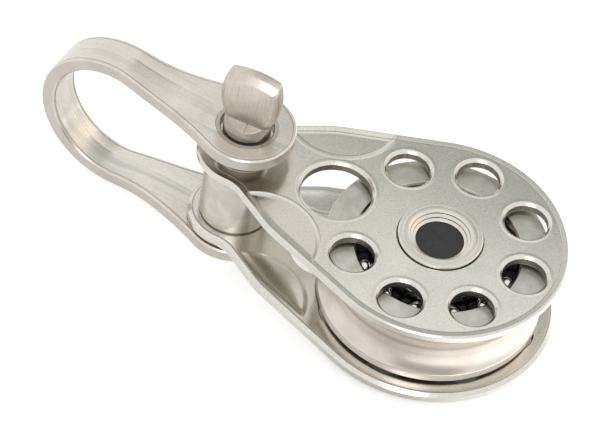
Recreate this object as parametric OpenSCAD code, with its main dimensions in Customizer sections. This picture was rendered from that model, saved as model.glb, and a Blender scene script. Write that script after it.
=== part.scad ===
// Sailing block. A ball bearing sheave ring turns between two pressed steel cheeks.
// A strap shackle swings on a thumb pin through the post at the narrow head of the cheeks.
// The origin is on the sheave axle, half way between the cheeks. +X points from the
// head to the round end and +Z points out of the upper cheek, along the axle and the pin.

/* [Sheave ring] */
// Diameter over the rims of the sheave ring
sheave_d = 37.6; // [36:0.2:39.2]
// Width of the sheave ring
sheave_w = 12; // [11.2:0.1:13]
// Depth of the rope groove below the rims
groove_depth = 1.6; // [0.8:0.1:2.2]
// Width of the plain land at each edge of the rope groove
rim_land = 1.5; // [1:0.1:2.5]
// Radius of the rounded rim corners
rim_round = 0.8; // [0.3:0.1:0.9]
// Wall of the ring between the floor of the rope groove and the ball tracks
ring_wall = 3.15; // [2.4:0.05:3.6]

/* [Ball bearing] */
// Diameter of one ball
ball_d = 3.175; // [2.9:0.025:3.3]
// Number of balls in each row
ball_count = 13; // [9:1:14]
// Distance between the planes of the two rows
row_spacing = 6.6; // [6:0.1:7]
// Direction of the first ball in the upper row, in degrees from +X
row_phase = 2; // [0:1:27]
// Depth of the groove that the balls run in, in each race
race_groove = 0.35; // [0.2:0.05:0.5]
// Running clearance between a ball and its groove
ball_clear = 0.06; // [0.04:0.01:0.1]
// Play of a ball in its cage pocket
pocket_play = 0.12; // [0.08:0.01:0.2]
// Gap between a cage and the race on either side of it
cage_gap = 0.3; // [0.2:0.05:0.4]
// Height of the cage prongs above the centres of the balls
cage_rise = 0.8; // [0.5:0.1:1]
// Width of the slot that splits each cage prong
prong_slot = 0.8; // [0.5:0.1:1.2]
// Gap between the backs of the two cages
cage_split = 0.4; // [0.3:0.1:0.8]
// Thickness of the thrust washers beside the inner races
thrust_t = 0.5; // [0.3:0.1:0.8]

/* [Cheeks] */
// Thickness of one cheek plate
cheek_t = 1.8; // [1.4:0.1:2.4]
// Gap between the sheave ring and each cheek
side_gap = 0.55; // [0.4:0.05:0.9]
// Distance that the round end of the cheeks stands out past the sheave rims
rim_cover = 2.6; // [2:0.1:4]
// Distance from the sheave rims out to the centre of the large hole and its shoulders
shoulder_out = 0.17; // [0:0.01:0.6]
// Radius of the shoulders round the large hole
shoulder_r = 14.6; // [14:0.1:15.5]
// Slope of the sides between the shoulders and the head, in degrees
neck_angle = 32; // [28:1:36]
// Half width of the head, which is rounded about the pin
head_r = 7.8; // [7.4:0.1:8.2]
// Radius where the sloping sides run into the head
neck_fillet = 6; // [3:0.5:9]

/* [Cheek holes and pressings] */
// Diameter of the small holes round the axle
small_hole_d = 7.38; // [6.4:0.1:7.8]
// Distance from the sheave rims in to the centres of the small holes
small_hole_in = 3.5; // [3:0.1:3.8]
// Angle between neighbouring small holes
small_hole_step = 45; // [40:1:46]
// Diameter of the large hole
large_hole_d = 12; // [10:0.2:12.4]
// Width of the eased edge round each hole
hole_ease = 0.45; // [0.2:0.05:0.6]
// Radius of the scalloped step on either side of the large hole
scallop_r = 9.9; // [9:0.1:10.2]
// Distance of the scallop centres from the large hole, towards the head
scallop_ahead = 6.5; // [5.5:0.1:7.5]
// Distance of the scallop centres outside the shoulders, measured square to the centre line
scallop_out = 1.4; // [1.2:0.1:2.4]
// Depth of the scalloped step
scallop_depth = 0.25; // [0.1:0.05:0.4]

/* [Axle] */
// Outside diameter of the hollow axle
axle_d = 10; // [9.4:0.1:11]
// Bore of the hollow axle
axle_bore = 8; // [7:0.1:8.4]
// Diameter of the flange rings on the axle ends
flange_d = 14.2; // [13.6:0.1:15]
// Thickness of the flange rings
flange_t = 1; // [0.8:0.1:1.4]
// Depth that each flange ring is let into its cheek
flange_recess = 0.4; // [0.2:0.05:0.6]
// Thickness of the lip that the axle ends are flared to
flare_lip = 0.5; // [0.3:0.05:0.7]
// Length of the plugs in the ends of the axle bore
plug_len = 4; // [2:0.5:6]
// Depth of the plug faces below the faces of the flange rings
plug_depth = 1.35; // [1.1:0.05:2]
// Clearance between parts that fit round each other
fit_clear = 0.05; // [0.03:0.01:0.1]

/* [Head post and pin] */
// Length of the opening for the rope between the sheave rims and the post
swallow_l = 11.4; // [11:0.1:13]
// Diameter of the shackle pin
pin_d = 8; // [7.4:0.1:8.4]
// Radial play of the pin in the post
pin_play = 0.15; // [0.1:0.01:0.25]
// Diameter of the post between the cheeks
post_d = 12; // [11.2:0.1:13]
// Width of the shadow groove at each end of the post
post_groove = 0.3; // [0.2:0.05:0.6]
// Depth of the shadow groove at each end of the post
post_groove_depth = 0.4; // [0.2:0.05:0.5]
// Diameter of the post ends that are set into the cheeks
spigot_d = 10.4; // [9.8:0.1:10.6]

/* [Shackle] */
// Total end play of the block's head between the shackle ears
shackle_play = 3.8; // [2:0.1:5]
// Gap between the lower cheek and the ear that it lies over
seat_gap = 0.3; // [0.3:0.05:0.8]
// Thickness of the shackle strap
strap_t = 2.4; // [2:0.1:3]
// Radius of the shackle ears
ear_r = 8.2; // [7.8:0.1:9]
// Half width of the strap round the crown
strap_half_w = 3.4; // [3:0.1:4.4]
// Distance from the pin at which the strap reaches its least width
waist_x = 25; // [20:0.5:29]
// Distance from the pin axis to the inside of the crown
bow_reach = 34.65; // [32:0.05:40]
// Distance that the crown stands out past the ears on each side
bow_swell = 1; // [0.4:0.1:2]
// Radius of the curve from the straight arms into the crown
bow_flare_r = 40; // [20:1:60]
// Radial clearance of the pin in the plain upper ear
ear_clear = 0.45; // [0.3:0.05:0.6]
// Swing of the shackle from straight, in degrees
shackle_swing = 4.4; // [-20:0.2:20]

/* [Thumb tab] */
// Height of the tab above the upper ear
tab_h = 11.9; // [10:0.1:14]
// Half width of the tab at its widest
tab_half_w = 5.15; // [4.8:0.05:6]
// Height of the widest part of the tab above the upper ear
tab_wide_z = 7; // [6:0.1:7.6]
// Radius of the bulging sides of the tab
tab_side_r = 12.1; // [11:0.1:16]
// Radius of the domed top of the tab
tab_top_r = 13; // [9:0.5:18]
// Thickness of the tab
tab_t = 3; // [2.4:0.1:3.6]
// Height at which the shank gives way to the flats of the tab
tab_neck = 1.8; // [1.4:0.1:2.4]
// Width of the cut corners at the top of the tab
tab_corner = 0.7; // [0.3:0.1:1]
// Turn of the tab from the length of the block, in degrees
tab_turn = 2.6; // [-20:0.2:20]
// Chamfer on the end of the pin
pin_chamfer = 0.5; // [0.2:0.1:0.8]

/* [Hidden] */
$fn = 96;
cut = 1;

// Across the block
rim_r = sheave_d / 2;
ring_half = sheave_w / 2;
cheek_in = ring_half + side_gap;
cheek_out = cheek_in + cheek_t;
body_r = rim_r + rim_cover;
shoulder_x = rim_r + shoulder_out;
small_hole_ring = rim_r - small_hole_in;

// Bearing
ball_r = ball_d / 2;
track_r = ball_r + ball_clear;
ball_circle_r = rim_r - groove_depth - ring_wall - track_r;
race_in_r = ball_circle_r - track_r + race_groove;
race_out_r = ball_circle_r + track_r - race_groove;
row_z = row_spacing / 2;
race_end = cheek_in - thrust_t;
bore_ease = race_groove;

// Axle
axle_r = axle_d / 2;
bore_r = axle_bore / 2;
flange_top = cheek_out - flange_recess + flange_t;
flange_base = cheek_out - flange_recess;
flare_r = axle_r + flange_t;
plug_top = flange_top - plug_depth;

// Head
pin_r = pin_d / 2;
post_r = post_d / 2;
spigot_r = spigot_d / 2;
post_bore_r = pin_r + pin_play;
pin_x = rim_r + swallow_l + post_r;

// Shackle, measured from its own middle plane
ear_in = cheek_out + shackle_play / 2;
ear_mid = ear_in + strap_t / 2;
ear_out = ear_in + strap_t;
bow_z = shackle_play / 2 - seat_gap;
bow_in_r = ear_in + bow_swell;
bow_mid_r = ear_mid + bow_swell;
bow_out_r = ear_out + bow_swell;
bow_x = bow_reach - bow_in_r;
flare_y = ear_mid + bow_flare_r;
flare_dx = sqrt(pow(bow_mid_r + bow_flare_r, 2) - pow(flare_y, 2));
flare_x = bow_x - flare_dx;
ear_top_z = bow_z + ear_out;
ear_base_z = bow_z - ear_out;

function unit(v) = v / norm(v);

// The mirror image of a row of points across the X axis, in reverse order
function flipped(points) = [for (i = [len(points) - 1:-1:0]) [points[i].x, -points[i].y]];

// A closed outline from its half on the +Y side
function mirrored(points) = concat(points, flipped(points));

// Points round an arc, one every few degrees
function arc(centre, r, from, to, step) =
    let (n = ceil(abs(to - from) / step))
    [for (i = [0:n]) let (a = from + i * (to - from) / n) centre + r * [cos(a), sin(a)]];

// A ring of rectangular section about the Z axis
module plain_ring(r_in, r_out, z_low, z_high) {
    rotate_extrude()
        translate([r_in, z_low])
            square([r_out - r_in, z_high - z_low]);
}

// The half of a pair that lies on the lower side
module lower() {
    mirror([0, 0, 1])
        children();
}

// Both sides of something that is drawn for the +Y side
module both_sides() {
    children();
    mirror([0, 1, 0])
        children();
}

// Outline of a cheek, without its holes
module cheek_outline() {
    // Straight side that touches the round end and the shoulder
    lean = asin((body_r - shoulder_r) / shoulder_x);
    side = [-sin(lean), cos(lean)];
    shoulder = [-shoulder_x, 0];
    // Straight side that leaves the shoulder and slopes down to the head
    neck = [-sin(neck_angle), cos(neck_angle)];
    neck_top = shoulder + shoulder_r * neck;
    neck_x = neck_top.x - (neck_top.y - head_r) / tan(neck_angle);
    fillet_dx = neck_fillet * tan(neck_angle / 2);
    fillet = [neck_x - fillet_dx, head_r + neck_fillet];
    circle(r = body_r);
    translate(shoulder)
        circle(r = shoulder_r);
    translate([-pin_x, 0])
        circle(r = head_r);
    polygon(mirrored([body_r * side, shoulder + shoulder_r * side]));
    difference() {
        polygon(mirrored([
            neck_top,
            fillet - neck_fillet * neck,
            fillet,
            [fillet.x, head_r],
            [-pin_x, head_r]
        ]));
        both_sides()
            translate(fillet)
                circle(r = neck_fillet);
    }
}

// Drill for a hole through a cheek, with its outer edge eased
module eased_hole(r) {
    translate([0, 0, cheek_in - cut])
        cylinder(h = cheek_t + 2 * cut, r = r);
    translate([0, 0, cheek_out - hole_ease])
        cylinder(h = hole_ease + cut, r1 = r, r2 = r + hole_ease + cut);
}

module cheek() {
    difference() {
        translate([0, 0, cheek_in])
            linear_extrude(cheek_t)
                cheek_outline();
        // Small holes, all but the one that the large hole takes the place of
        for (i = [-3:3])
            rotate(i * small_hole_step)
                translate([small_hole_ring, 0, 0])
                    eased_hole(small_hole_d / 2);
        translate([-shoulder_x, 0, 0])
            eased_hole(large_hole_d / 2);
        // Axle hole with the seat of its flange ring
        translate([0, 0, cheek_in - cut])
            cylinder(h = cheek_t + 2 * cut, r = axle_r + fit_clear);
        translate([0, 0, flange_base])
            cylinder(h = flange_recess + cut, r = flange_d / 2 + fit_clear);
        // Hole for the end of the head post
        translate([-pin_x, 0, cheek_in - cut])
            cylinder(h = cheek_t + 2 * cut, r = spigot_r + fit_clear);
        both_sides()
            translate([-shoulder_x - scallop_ahead, shoulder_r + scallop_out, cheek_out - scallop_depth])
                cylinder(h = scallop_depth + cut, r = scallop_r);
    }
}

module cheek_upper() {
    color("silver")
        cheek();
}

module cheek_lower() {
    color("silver")
        lower()
            cheek();
}

// Places a ring groove at both rows, in the section of a race
module ball_tracks() {
    for (side = [-1, 1])
        translate([ball_circle_r, side * row_z])
            circle(r = track_r);
}

module sheave_ring() {
    groove_w = sheave_w - 2 * rim_land;
    groove_r = (groove_w * groove_w / 4 + groove_depth * groove_depth) / (2 * groove_depth);
    color("rosybrown")
        rotate_extrude()
            difference() {
                union() {
                    translate([race_out_r, -ring_half])
                        square([rim_r - rim_round - race_out_r, sheave_w]);
                    translate([race_out_r, rim_round - ring_half])
                        square([rim_r - race_out_r, sheave_w - 2 * rim_round]);
                    for (side = [-1, 1])
                        translate([rim_r - rim_round, side * (ring_half - rim_round)])
                            circle(r = rim_round);
                }
                translate([rim_r - groove_depth + groove_r, 0])
                    circle(r = groove_r);
                ball_tracks();
                // Eased corners of the bore
                for (side = [-1, 1])
                    polygon([
                        [race_out_r - cut, side * (ring_half + cut)],
                        [race_out_r - cut, side * (ring_half - bore_ease)],
                        [race_out_r, side * (ring_half - bore_ease)],
                        [race_out_r + bore_ease, side * ring_half],
                        [race_out_r + bore_ease, side * (ring_half + cut)]
                    ]);
            }
}

// One half of the split inner race, with its running groove
module inner_race() {
    rotate_extrude()
        difference() {
            translate([axle_r + fit_clear, 0])
                square([race_in_r - axle_r - fit_clear, race_end]);
            ball_tracks();
        }
}

module inner_race_upper() {
    color("gainsboro")
        inner_race();
}

module inner_race_lower() {
    color("gainsboro")
        lower()
            inner_race();
}

module thrust_washer_upper() {
    color("dimgray")
        plain_ring(axle_r + fit_clear, race_in_r, race_end, cheek_in);
}

module thrust_washer_lower() {
    color("dimgray")
        lower()
            plain_ring(axle_r + fit_clear, race_in_r, race_end, cheek_in);
}

// Crown cage, with a pocket for each ball and a slot in each prong
module ball_cage(phase) {
    cage_top = row_z + cage_rise;
    difference() {
        plain_ring(race_in_r + cage_gap, race_out_r - cage_gap, cage_split / 2, cage_top);
        for (i = [0:ball_count - 1])
            rotate(phase + i * 360 / ball_count) {
                translate([ball_circle_r, 0, row_z])
                    sphere(r = ball_r + pocket_play);
                rotate(180 / ball_count)
                    translate([ball_circle_r - ball_r, -prong_slot / 2, row_z - cage_rise])
                        cube([ball_d, prong_slot, 2 * cage_rise + cut]);
            }
    }
}

// One ring of balls
module ball_row(phase) {
    for (i = [0:ball_count - 1])
        rotate(phase + i * 360 / ball_count)
            translate([ball_circle_r, 0, row_z])
                sphere(r = ball_r);
}

module ball_cage_upper() {
    color("#202020")
        ball_cage(row_phase);
}

// The lower row lies half a ball pitch round from the upper one
module ball_cage_lower() {
    color("#202020")
        lower()
            ball_cage(row_phase + 180 / ball_count);
}

module bearing_balls_upper() {
    color("white")
        ball_row(row_phase);
}

module bearing_balls_lower() {
    color("white")
        lower()
            ball_row(row_phase + 180 / ball_count);
}

// Hollow axle, flared out into the flange rings in two steps at each end
module hollow_axle() {
    lip_r = flare_r - flare_lip;
    step = (lip_r - bore_r) / 3;
    drop = plug_depth / 5;
    color("lightgray")
        rotate_extrude()
            polygon(mirrored([
                [axle_r, flange_base],
                [flare_r, flange_top],
                [lip_r, flange_top],
                [lip_r - step, flange_top - drop],
                [lip_r - step, flange_top - 2 * drop],
                [lip_r - 2 * step, flange_top - 3 * drop],
                [lip_r - 2 * step, flange_top - 4 * drop],
                [bore_r, plug_top]
            ]));
}

// Ring that the flared end of the axle is spread into
module flange_ring() {
    edge = flange_t / 4;
    rotate_extrude()
        polygon([
            [axle_r, flange_base],
            [flange_d / 2, flange_base],
            [flange_d / 2, flange_top - edge],
            [flange_d / 2 - edge, flange_top],
            [flare_r, flange_top]
        ]);
}

module flange_ring_upper() {
    color("silver")
        flange_ring();
}

module flange_ring_lower() {
    color("silver")
        lower()
            flange_ring();
}

module axle_plug() {
    translate([0, 0, plug_top - plug_len])
        cylinder(h = plug_len, r = bore_r - fit_clear);
}

module axle_plug_upper() {
    color("#181818")
        axle_plug();
}

module axle_plug_lower() {
    color("#181818")
        lower()
            axle_plug();
}

// Post between the cheeks, with its turned down ends set into them
module head_post() {
    groove_r = post_r - post_groove_depth;
    color("silver")
        translate([-pin_x, 0, 0])
            rotate_extrude()
                polygon(mirrored([
                    [post_r, cheek_in - post_groove],
                    [groove_r, cheek_in - post_groove],
                    [groove_r, cheek_in],
                    [spigot_r, cheek_in],
                    [spigot_r, cheek_out],
                    [post_bore_r, cheek_out]
                ]));
}

// Upper side of the strap from its tail to the start of the crown, in side view.
// X runs from the pin to the crown and Y is the height.
function bow_arm(height, tail) =
    let (flare = [flare_x, flare_y], turn = atan(flare_dx / flare_y))
    concat([[-tail, height]], arc(flare, flare_y - height, -90, turn - 90, 2));

// Side view of the strap, filled in
module bow_outside() {
    start = 90 + atan(flare_dx / flare_y);
    arm = bow_arm(ear_out, ear_r);
    crown = arc([bow_x, 0], bow_out_r, start, -start, 3);
    inner_points = [for (i = [1:len(crown) - 2]) crown[i]];
    polygon(concat(arm, inner_points, flipped(arm)));
}

// Plan of the strap: a round ear at the pin whose edges run in two hollow arcs to the crown
module bow_plan() {
    waist_r = (waist_x * waist_x / (ear_r - strap_half_w) - ear_r - strap_half_w) / 2;
    waist = [waist_x, strap_half_w + waist_r];
    tip = bow_x + bow_out_r + cut;
    touch = atan(waist.y / waist.x);
    ear = arc([0, 0], ear_r, 360 - touch, touch, 3);
    edge = arc(waist, waist_r, 180 + touch, 270, 2);
    inner_points = [for (i = [1:len(ear) - 2]) ear[i]];
    polygon(concat(mirrored(concat(edge, [[tip, strap_half_w]])), inner_points));
}

module shackle_bow() {
    deep = 2 * (ear_r + cut);
    tall = 2 * (bow_out_r + cut);
    color("silver")
        translate([-pin_x, 0, bow_z])
            rotate(180 - shackle_swing)
                difference() {
                    intersection() {
                        translate([0, deep / 2, 0])
                            rotate([90, 0, 0])
                                linear_extrude(deep)
                                    bow_outside();
                        translate([0, 0, -tall / 2])
                            linear_extrude(tall)
                                bow_plan();
                    }
                    // Space between the arms, and the round inside of the crown
                    translate([0, deep / 2, 0])
                        rotate([90, 0, 0])
                            linear_extrude(deep)
                                polygon(mirrored(bow_arm(ear_in, ear_r + cut)));
                    translate([bow_x, deep / 2, 0])
                        rotate([90, 0, 0])
                            cylinder(h = deep, r = bow_in_r);
                    // Plain hole in the upper ear and close hole for the pin's end in the lower
                    cylinder(h = tall / 2, r = pin_r + ear_clear);
                    translate([0, 0, -tall / 2])
                        cylinder(h = tall / 2 + cut, r = pin_r + fit_clear);
                }
}

// Bulging body that the tab is cut from, measured from the top of the ear
module tab_barrel() {
    corner_x = tab_half_w - tab_corner;
    corner_z = tab_h - tab_corner;
    rotate_extrude()
        intersection() {
            translate([tab_half_w - tab_side_r, tab_wide_z])
                circle(r = tab_side_r);
            translate([0, tab_h - tab_top_r])
                circle(r = tab_top_r);
            polygon([
                [0, tab_neck / 2],
                [tab_half_w, tab_neck / 2],
                [tab_half_w, corner_z - tab_corner],
                [corner_x - tab_corner, tab_h],
                [0, tab_h]
            ]);
        }
}

module thumb_pin() {
    wide = 2 * tab_half_w + cut;
    color("lightgray")
        translate([-pin_x, 0, 0])
            rotate(tab_turn) {
                translate([0, 0, ear_base_z])
                    cylinder(h = pin_chamfer, r1 = pin_r - pin_chamfer, r2 = pin_r);
                translate([0, 0, ear_base_z + pin_chamfer])
                    cylinder(h = ear_top_z - ear_base_z - pin_chamfer, r = pin_r);
                // Tab, with sloping cuts from the round shank up to its flats
                translate([0, 0, ear_top_z])
                    intersection() {
                        union() {
                            cylinder(h = tab_neck, r = pin_r);
                            tab_barrel();
                        }
                        rotate([90, 0, 90])
                            translate([0, 0, -wide / 2])
                                linear_extrude(wide)
                                    polygon([
                                        [-pin_r, 0],
                                        [pin_r, 0],
                                        [tab_t / 2, tab_neck],
                                        [tab_t / 2, tab_h + cut],
                                        [-tab_t / 2, tab_h + cut],
                                        [-tab_t / 2, tab_neck]
                                    ]);
                    }
            }
}

cheek_upper();
cheek_lower();
sheave_ring();
inner_race_upper();
inner_race_lower();
thrust_washer_upper();
thrust_washer_lower();
ball_cage_upper();
ball_cage_lower();
bearing_balls_upper();
bearing_balls_lower();
hollow_axle();
flange_ring_upper();
flange_ring_lower();
axle_plug_upper();
axle_plug_lower();
head_post();
shackle_bow();
thumb_pin();
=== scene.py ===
import math

import bpy
import numpy as np
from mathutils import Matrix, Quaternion, Vector
from mathutils.geometry import delaunay_2d_cdt
from mathutils.kdtree import KDTree


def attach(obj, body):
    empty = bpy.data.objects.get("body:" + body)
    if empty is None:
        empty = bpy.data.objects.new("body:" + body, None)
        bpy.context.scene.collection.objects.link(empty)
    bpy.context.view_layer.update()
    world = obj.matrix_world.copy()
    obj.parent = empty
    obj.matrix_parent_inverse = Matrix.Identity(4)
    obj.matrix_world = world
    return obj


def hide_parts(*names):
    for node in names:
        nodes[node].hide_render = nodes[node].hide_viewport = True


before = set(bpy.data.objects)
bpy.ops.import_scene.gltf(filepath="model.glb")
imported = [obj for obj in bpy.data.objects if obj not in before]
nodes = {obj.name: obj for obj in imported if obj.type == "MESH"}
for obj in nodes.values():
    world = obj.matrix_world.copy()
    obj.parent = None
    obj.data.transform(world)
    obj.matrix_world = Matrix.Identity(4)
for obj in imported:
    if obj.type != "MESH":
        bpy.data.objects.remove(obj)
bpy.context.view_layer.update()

mm = 0.001  # the shapes below are drawn in millimetres
pinPlace = -36.2  # where the shackle pin stands along the block
print("frame loaded:", len(nodes), "nodes")


# small helpers for building node trees

def addNode(tree, kind, values=None, **settings):
    node = tree.nodes.new(kind)
    for key, value in settings.items():
        setattr(node, key, value)
    for key, value in (values or {}).items():
        socket = node.inputs[key]
        if isinstance(value, bpy.types.NodeSocket):
            tree.links.new(value, socket)
        else:
            socket.default_value = value
    return node


def doMath(tree, operation, a, b=0.0, c=0.0):
    return addNode(tree, "ShaderNodeMath", {0: a, 1: b, 2: c}, operation=operation).outputs[0]


def times(tree, a, b):
    return doMath(tree, "MULTIPLY", a, b)


def spread(tree, value, low, high, toLow=0.0, toHigh=1.0):
    # stretches a mask between two levels and keeps it inside them
    return addNode(tree, "ShaderNodeMapRange", {"Value": value, "From Min": low, "From Max": high,
                                                "To Min": toLow, "To Max": toHigh}).outputs[0]


def blendColours(tree, factor, a, b):
    return addNode(tree, "ShaderNodeMix", {0: factor, 6: a, 7: b}, data_type="RGBA").outputs[2]


def splitVector(tree, vector):
    return addNode(tree, "ShaderNodeSeparateXYZ", {0: vector}).outputs


def joinVector(tree, x, y, z):
    return addNode(tree, "ShaderNodeCombineXYZ", {0: x, 1: y, 2: z}).outputs[0]


def addNoise(tree, vector, scale, detail, **more):
    values = {"Vector": vector, "Scale": scale, "Detail": detail, **more}
    return addNode(tree, "ShaderNodeTexNoise", values).outputs[0]


def addCells(tree, vector, scale):
    return addNode(tree, "ShaderNodeTexVoronoi", {"Vector": vector, "Scale": scale, "Randomness": 1.0}).outputs[0]


def newGroup(name, inputs, outputs):
    group = bpy.data.node_groups.new(name, "ShaderNodeTree")
    for way, sockets in (("INPUT", inputs), ("OUTPUT", outputs)):
        for label, kind in sockets.items():
            group.interface.new_socket(label, in_out=way, socket_type=kind)
    return group, group.nodes.new("NodeGroupInput").outputs, group.nodes.new("NodeGroupOutput").inputs


def placeGroup(tree, group, values):
    return addNode(tree, "ShaderNodeGroup", values, node_tree=group).outputs


def clearedTree(owner):
    # the empty node tree of a material or a world
    owner.use_nodes = True
    owner.node_tree.nodes.clear()
    return owner.node_tree


def endIn(tree, shader, kind="ShaderNodeOutputMaterial"):
    tree.links.new(shader.outputs[0], addNode(tree, kind).inputs[0])


number, colour, direction = "NodeSocketFloat", "NodeSocketColor", "NodeSocketVector"


def millimetreGroup():
    # the piece's own coordinates in millimetres, square ones and ones turned about an axle at Axis X
    tree, given, out = newGroup("millimetres", {"Axis X": number}, {"Square": direction, "Turned": direction})
    here = addNode(tree, "ShaderNodeTexCoord").outputs["Object"]
    square = addNode(tree, "ShaderNodeVectorMath", {0: here, 3: 1 / mm}, operation="SCALE").outputs[0]
    x, y, z = splitVector(tree, square)
    x = doMath(tree, "SUBTRACT", x, given["Axis X"])
    radius = doMath(tree, "SQRT", doMath(tree, "MULTIPLY_ADD", x, x, times(tree, y, y)))
    tree.links.new(square, out["Square"])
    tree.links.new(joinVector(tree, radius, doMath(tree, "ARCTAN2", y, x), z), out["Turned"])
    return tree


mill = {"cloud": (0.35, 0.65), "cells": (0.16, 0.05), "coarse": (0.5, 0.62), "mottle": (0.42, 0.60),
        "pits": (0.12, 0.05), "smooth": (0.52, 0.44), "cellScale": 0.45, "pitScale": 0.31, "pitAmount": 0.8,
        "pitTone": (0.30, 0.29, 0.26, 1), "grainSwing": 0.6, "swingMiddle": 0.8, "speckRough": 0.15,
        "speckHeight": -0.6, "grainHeight": 0.25}


def millFinishGroup(v):
    # cloudy tone, fine grain and small specks of handled steel
    tree, given, out = newGroup("millFinish", {
        "Vector": direction, "Colour": colour, "Shade": colour, "Speck": colour, "Cloud Size": number,
        "Cloud Amount": number, "Speck Size": number, "Speck Amount": number, "Mottle": number,
        "Roughness": number, "Swing": number}, {"Colour": colour, "Roughness": number, "Height": number})
    vector, perSpeck = given["Vector"], doMath(tree, "DIVIDE", 1.0, given["Speck Size"])
    cloud = addNoise(tree, vector, doMath(tree, "DIVIDE", 1.0, given["Cloud Size"]), 4.0,
                     Roughness=0.55, Distortion=0.4)
    grain = addNoise(tree, vector, perSpeck, 3.0, Roughness=0.7)
    cells = addCells(tree, vector, times(tree, perSpeck, v["cellScale"]))
    pits = addCells(tree, vector, times(tree, perSpeck, v["pitScale"]))
    cloudMask = times(tree, spread(tree, cloud, *v["cloud"]), given["Cloud Amount"])
    # specks only where the grain is coarse, so that they gather in places
    speckMask = times(tree, times(tree, spread(tree, cells, *v["cells"]), given["Speck Amount"]),
                      spread(tree, grain, *v["coarse"]))
    mottleMask = times(tree, spread(tree, grain, *v["mottle"]), given["Mottle"])
    pitMask = times(tree, times(tree, spread(tree, pits, *v["pits"]), v["pitAmount"]),
                    spread(tree, grain, *v["smooth"]))
    tone = given["Colour"]
    for mask, over in ((cloudMask, given["Shade"]), (mottleMask, given["Speck"]), (speckMask, given["Speck"]),
                       (pitMask, v["pitTone"])):
        tone = blendColours(tree, mask, tone, over)
    wander = doMath(tree, "MULTIPLY_ADD", grain, v["grainSwing"], cloud)
    swing = times(tree, given["Swing"], doMath(tree, "SUBTRACT", wander, v["swingMiddle"]))
    rough = doMath(tree, "ADD", given["Roughness"], swing)
    tree.links.new(tone, out["Colour"])
    tree.links.new(doMath(tree, "MULTIPLY_ADD", speckMask, v["speckRough"], rough), out["Roughness"])
    tree.links.new(doMath(tree, "MULTIPLY_ADD", speckMask, v["speckHeight"], times(tree, grain, v["grainHeight"])),
                   out["Height"])
    return tree


def hairLinesGroup():
    # fine lines drawn out along the second direction of the vector
    ways = ("Across", "Along", "Depth")
    tree, given, out = newGroup("hairLines", {"Vector": direction, **dict.fromkeys(ways, number), "Level": number},
                                {"Mask": number, "Height": number})
    parts = splitVector(tree, given["Vector"])
    drawn = joinVector(tree, *(times(tree, part, given[way]) for part, way in zip(parts, ways)))
    lines = addNoise(tree, drawn, 1.0, 5.0, Roughness=0.65)
    tree.links.new(spread(tree, lines, given["Level"], doMath(tree, "ADD", given["Level"], 0.14)), out["Mask"])
    tree.links.new(lines, out["Height"])
    return tree


def paintedBandGroup():
    # a soft wavering band round a turned piece at a height from its middle, which carries painted highlights and
    # painted reflections
    tree, given, out = newGroup("paintedBand", {"Vector": direction, "Height": number, "Width": number},
                                {"Mask": number})
    waver = doMath(tree, "SUBTRACT", addNoise(tree, given["Vector"], 0.9, 2.0), 0.5)
    height = doMath(tree, "ADD", splitVector(tree, given["Vector"])[2], times(tree, waver, 0.4))
    away = doMath(tree, "ABSOLUTE", doMath(tree, "SUBTRACT", height, given["Height"]))
    tree.links.new(spread(tree, doMath(tree, "DIVIDE", away, given["Width"]), 1.0, 0.2), out["Mask"])
    return tree


millimetres, millFinish = millimetreGroup(), millFinishGroup(mill)
hairLines, paintedBand = hairLinesGroup(), paintedBandGroup()

finishSockets = {"Colour": "colour", "Shade": "shade", "Speck": "speck", "Cloud Size": "cloudSize",
                 "Cloud Amount": "cloudAmount", "Speck Size": "speckSize", "Speck Amount": "speckAmount",
                 "Mottle": "mottle", "Roughness": "roughness", "Swing": "swing"}
lineSockets = {"Across": "across", "Along": "along", "Depth": "depth", "Level": "level"}


def fromLook(look, sockets):
    # the values of a look for the sockets of a group
    return {socket: look[key] for socket, key in sockets.items()}


def startMaterial(name, look):
    # what every finish begins with: its coordinates and its tone
    material = bpy.data.materials.new(name)
    tree = clearedTree(material)
    place = placeGroup(tree, millimetres, {"Axis X": look.get("axis", 0.0)})
    finish = placeGroup(tree, millFinish, {"Vector": place["Square"], **fromLook(look, finishSockets)})
    return material, tree, place, finish


def bumpFrom(tree, look, height):
    return addNode(tree, "ShaderNodeBump", {"Strength": look["bump"], "Distance": look["bumpDepth"] * mm,
                                            "Height": height}).outputs[0]


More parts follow.
